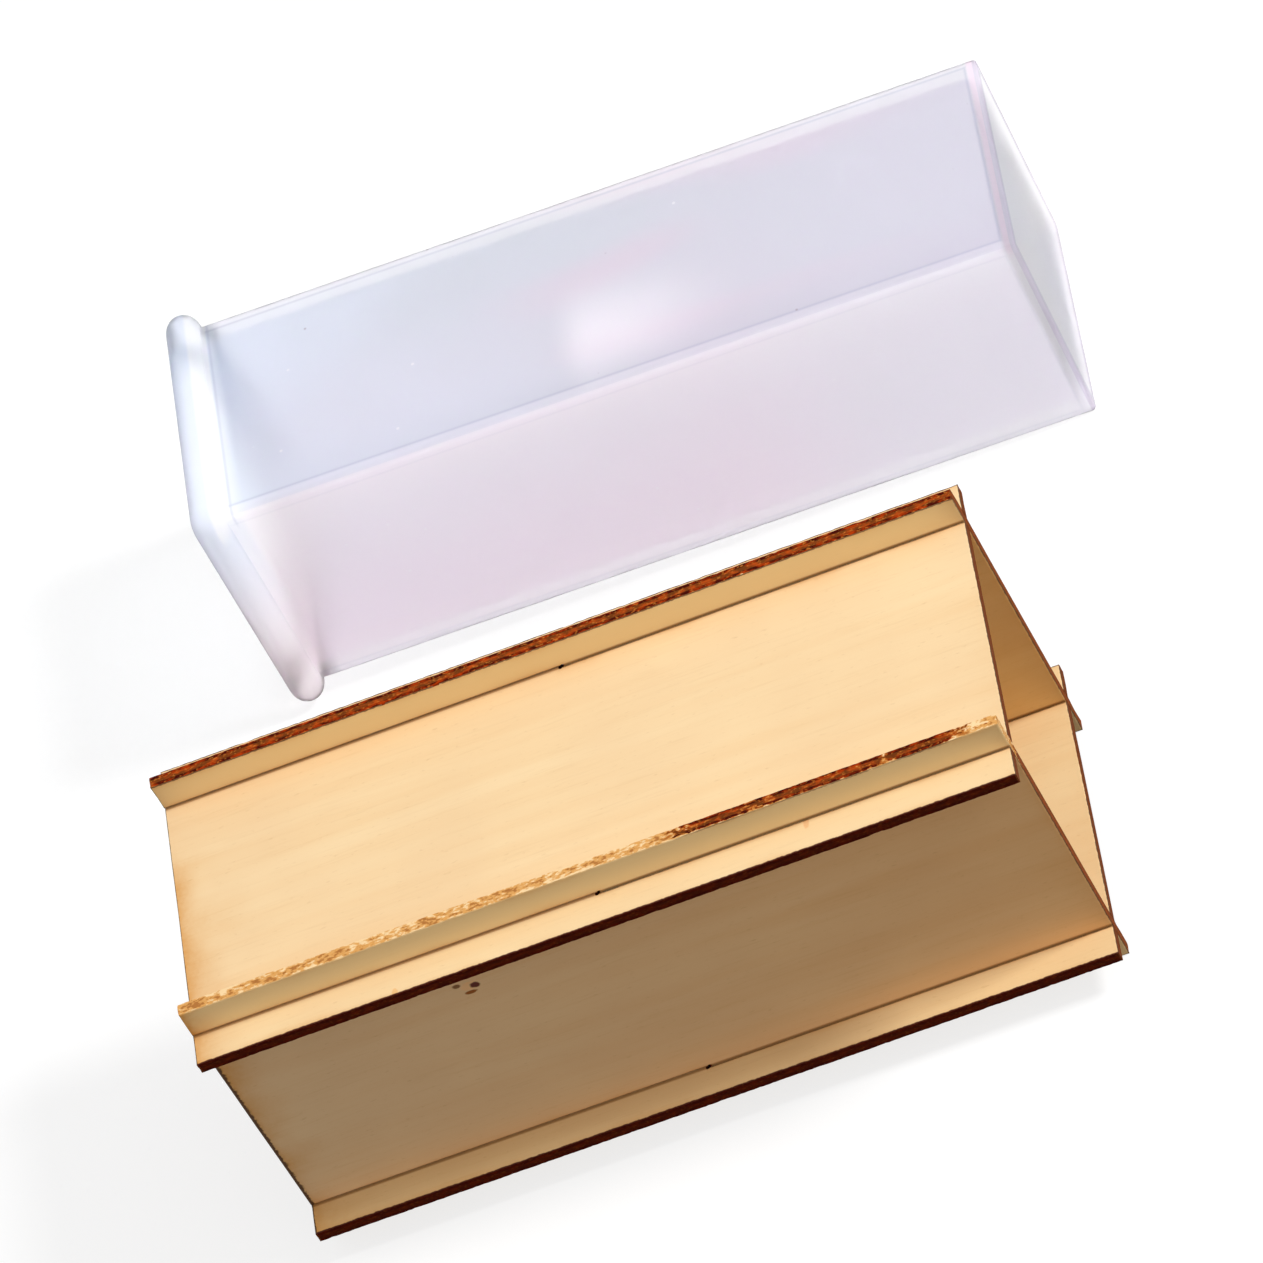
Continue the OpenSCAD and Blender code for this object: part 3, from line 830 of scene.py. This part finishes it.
def makeWallSilicone():
    material, tree, shader, place, apart, frost = siliconeBody("frostedWall", silicone["lilac"],
                                                               silicone["clear"])
    along, across, up = apart
    absY, absZ = calc(tree, "ABSOLUTE", across), calc(tree, "ABSOLUTE", up)

    # tint from the mouth to the closed end, drifting with the clouding
    wander = calc(tree, "MULTIPLY", calc(tree, "SUBTRACT", frost["Cloud"], 0.5), silicone["drift"])
    drifting = calc(tree, "ADD", along, wander)
    colour = blend(tree, ramp(tree, drifting, *silicone["coolEnds"]), silicone["cool"], silicone["lilac"])
    colour = blend(tree, ramp(tree, drifting, *silicone["pinkStarts"]), colour, silicone["pink"])
    bands = speckle(tree, stretched(tree, place, (9, 42, 42)), 1.0, 1.0, 0.5, 2.0)
    blush = calc(tree, "MULTIPLY", ramp(tree, bands, 0.48, 0.66),
                 ramp(tree, along, *silicone["blushStarts"], 0.0, 0.55))
    colour = blend(tree, blush, colour, silicone["blush"])
    # painted light: the lower wall made lighter, so what is seen through it is brighter
    colour = blend(tree, calc(tree, "LESS_THAN", up, -silicone["wallHeight"]), colour, silicone["lowerWallLight"])

    # the upright walls and the closed end, painted whiter than the upper wall: painted light
    sidePink = calc(tree, "MULTIPLY", ramp(tree, along, *silicone["sidePinkEnds"], 1.0, 0.0),
                    ramp(tree, up, *silicone["sidePinkTop"], 1.0, 0.2))
    side = blend(tree, sidePink, silicone["side"], silicone["sidePink"])
    onEnd = calc(tree, "GREATER_THAN", along, liner["length"] - liner["endEdge"])
    sideways = calc(tree, "MULTIPLY", calc(tree, "GREATER_THAN", absY, absZ),
                    calc(tree, "SUBTRACT", 1.0, onEnd))
    # painted light: the upright walls and the closed end made whiter, for light they lack
    colour = blend(tree, calc(tree, "MULTIPLY", sideways, 0.9), colour, side)
    colour = blend(tree, onEnd, colour, white)

    # a pale cloud starts sharply and fades towards the closed end
    off = [calc(tree, "DIVIDE", calc(tree, "SUBTRACT", apart[k], silicone["glowPlace"][k]),
                silicone["glowSize"][k]) for k in (0, 1)]
    ahead = calc(tree, "MAXIMUM", off[0], calc(tree, "MULTIPLY", off[0], -silicone["glowSharp"]))
    away = calc(tree, "SQRT", calc(tree, "ADD", calc(tree, "MULTIPLY", ahead, ahead),
                                   calc(tree, "MULTIPLY", off[1], off[1])))
    glow = calc(tree, "MULTIPLY", ramp(tree, away, 0.0, 1.1, 0.65, 0.0),
                calc(tree, "GREATER_THAN", up, silicone["wallHeight"]))
    colour = blend(tree, glow, colour, silicone["bright"])

    # the solid part of the wall beyond the cavity, and a line on the cavity's corner
    cavityHalf = liner["width"] / 2 - liner["wall"] - liner["draft"] / 4
    cavityEnd = liner["length"] - liner["endWall"]
    corner = add(tree, "ShaderNodeMix", {"data_type": "FLOAT"}, {
        0: onEnd, 2: calc(tree, "MINIMUM", absY, absZ), 3: calc(tree, "MAXIMUM", absY, absZ)})
    past = calc(tree, "SUBTRACT", corner.outputs[0], cavityHalf)
    beyond = calc(tree, "SUBTRACT", calc(tree, "SUBTRACT", along, cavityEnd), onEnd)      # not on the end
    reach = calc(tree, "MAXIMUM", past, beyond)
    soft = silicone["lineWidth"]
    colour = blend(tree, ramp(tree, reach, -0.5 * soft, 2 * soft, 0.0, 0.5), colour, silicone["solid"])
    ring = calc(tree, "MULTIPLY", ramp(tree, past, 0.0, 2 * soft), onEnd)
    colour = blend(tree, ring, colour, silicone["endRing"])
    atEnd = calc(tree, "MULTIPLY", ramp(tree, beyond, 0.0, 2 * soft), frost["Top"])
    atEnd = calc(tree, "MULTIPLY", atEnd, calc(tree, "SUBTRACT", 0.8, onEnd, clamp=True))
    colour = blend(tree, atEnd, colour, silicone["endBand"])
    line = calc(tree, "SUBTRACT", 1.0, calc(tree, "DIVIDE", calc(tree, "ABSOLUTE", reach), soft), clamp=True)
    line = calc(tree, "MULTIPLY", line, calc(tree, "SUBTRACT", 0.7, calc(tree, "MULTIPLY", sideways, 0.5)))
    colour = blend(tree, line, colour, silicone["line"])

    # a painted highlight: the bright band beside the bead, and the thin line that ends it
    band = calc(tree, "SUBTRACT", along, liner["rimLength"])
    band = calc(tree, "DIVIDE", band, silicone["rimHighlightBand"])
    paintedHighlight = calc(tree, "MULTIPLY", ramp(tree, band, 0.6, 1.0, 0.9, 0.0), frost["Top"])
    colour = blend(tree, paintedHighlight, colour, white)
    edge = calc(tree, "MULTIPLY", ramp(tree, band, 0.9, 1.1), ramp(tree, band, 1.2, 1.6, 0.5, 0.0))
    edge = calc(tree, "MULTIPLY", edge, frost["Top"])
    colour = blend(tree, edge, colour, silicone["line"])

    # motes in the wall
    motes = add(tree, "ShaderNodeTexVoronoi", None, {"Vector": place, "Scale": silicone["moteGrain"]}).outputs
    lots = add(tree, "ShaderNodeSeparateColor", None, {0: motes["Color"]}).outputs
    rare = ramp(tree, along, *silicone["motesDark"], 0.55, 0.80)
    mote = calc(tree, "MULTIPLY", ramp(tree, motes["Distance"], 0.04, 0.09, 0.7, 0.0),
                calc(tree, "GREATER_THAN", lots[0], rare))
    pale = calc(tree, "GREATER_THAN", lots[1], ramp(tree, along, *silicone["motesDark"], 0.2, 0.8))
    shade = blend(tree, pale, silicone["speck"], white)
    colour = blend(tree, mote, colour, shade)
    # painted shade: darker where the surface turns away from the view
    facing = add(tree, "ShaderNodeLayerWeight", None, {"Blend": 0.5}).outputs["Facing"]
    colour = blend(tree, ramp(tree, facing, 0.86, 1.0, 0.0, 0.6), colour, silicone["outline"])
    tree.links.new(colour, shader.inputs["Base Color"])
    return material


def makeRimSilicone():
    material, tree, shader, place, apart, frost = siliconeBody("frostedRim", silicone["rim"],
                                                               silicone["rimClear"])
    colour = blend(tree, ramp(tree, frost["Cloud"], 0.3, 0.7, 0.0, 0.3), silicone["rim"], silicone["solid"])
    # painted light: the bead turns pinker and lighter towards its shaded bottom
    low = ramp(tree, apart[2], *silicone["rimFall"], 1.0, 0.0)
    colour = blend(tree, low, colour, silicone["rimPinkLight"])
    # painted highlight along the bead's top, next to the wall
    paintedHighlight = calc(tree, "MULTIPLY", ramp(tree, apart[0], *silicone["rimHighlight"]), frost["Top"])
    colour = blend(tree, paintedHighlight, colour, white)
    tree.links.new(colour, shader.inputs["Base Color"])
    return material


piece = makeLiner(makeWallSilicone(), makeRimSilicone())
print(piece.name, len(piece.data.polygons), "faces")


# floor, sky and lamp
studio = {
    "floorSize": 24,
    "floorBounce": (0.17, 0.15, 0.13, 1),   # what the floor throws back on the object
    "floorSeen": (0.30, 0.30, 0.30, 1),     # its own colour for the eye
    "floorGlow": 0.76,             # added for the eye, so the open floor is white and the shadow pale
    "floorThrough": 0.32,          # more of it through silicone
    "sky": 0.52,
    "lampSize": 0.9,
    "lampPlace": (2.72, 0.036, 2.86),
    "lampPower": 112,
}


def eyeRays(tree):
    # 1 for what the camera sees, directly or in gloss and glass
    path = add(tree, "ShaderNodeLightPath").outputs
    seen = calc(tree, "ADD", path["Is Camera Ray"], path["Is Glossy Ray"])
    return calc(tree, "ADD", seen, path["Is Transmission Ray"], clamp=True)


def addStudio():
    form = bmesh.new()
    half = studio["floorSize"] / 2
    corners = ((-half, -half), (half, -half), (half, half), (-half, half))
    form.faces.new([form.verts.new((x, y, 0)) for x, y in corners])
    mesh = bpy.data.meshes.new("studioFloor")
    form.to_mesh(mesh)
    form.free()
    floor = bpy.data.objects.new("studioFloor", mesh)
    scene.collection.objects.link(floor)
    material, tree, shader = newMaterial("studioFloor", white)
    tree.nodes.remove(shader)
    seen = eyeRays(tree)
    matt = add(tree, "ShaderNodeBsdfDiffuse", None, {
        "Color": blend(tree, seen, studio["floorBounce"], studio["floorSeen"])})
    through = add(tree, "ShaderNodeLightPath").outputs["Is Transmission Ray"]
    strength = calc(tree, "ADD", calc(tree, "MULTIPLY", seen, studio["floorGlow"]),
                    calc(tree, "MULTIPLY", through, studio["floorThrough"]))
    glow = add(tree, "ShaderNodeEmission", None, {"Strength": strength})
    both = add(tree, "ShaderNodeAddShader", None, {0: matt.outputs[0], 1: glow.outputs[0]})
    tree.links.new(both.outputs[0], tree.nodes["Material Output"].inputs["Surface"])
    mesh.materials.append(material)

    world = bpy.data.worlds.new("studioSky")
    world.use_nodes = True
    sky = world.node_tree
    strength = ramp(sky, eyeRays(sky), 0.0, 1.0, studio["sky"], 1.0, smooth=False)
    sky.links.new(strength, sky.nodes["Background"].inputs["Strength"])
    sky.nodes["Background"].inputs["Color"].default_value = white
    scene.world = world

    lamp = bpy.data.lights.new("softKey", "AREA")
    lamp.shape, lamp.size, lamp.energy = "DISK", studio["lampSize"], studio["lampPower"]
    holder = bpy.data.objects.new("softKey", lamp)
    holder.location = studio["lampPlace"]
    holder.rotation_euler = Vector(studio["lampPlace"]).to_track_quat("Z", "Y").to_euler()
    holder.visible_camera = False
    scene.collection.objects.link(holder)


addStudio()
scene.view_settings.view_transform = "Standard"
print("studio lit")
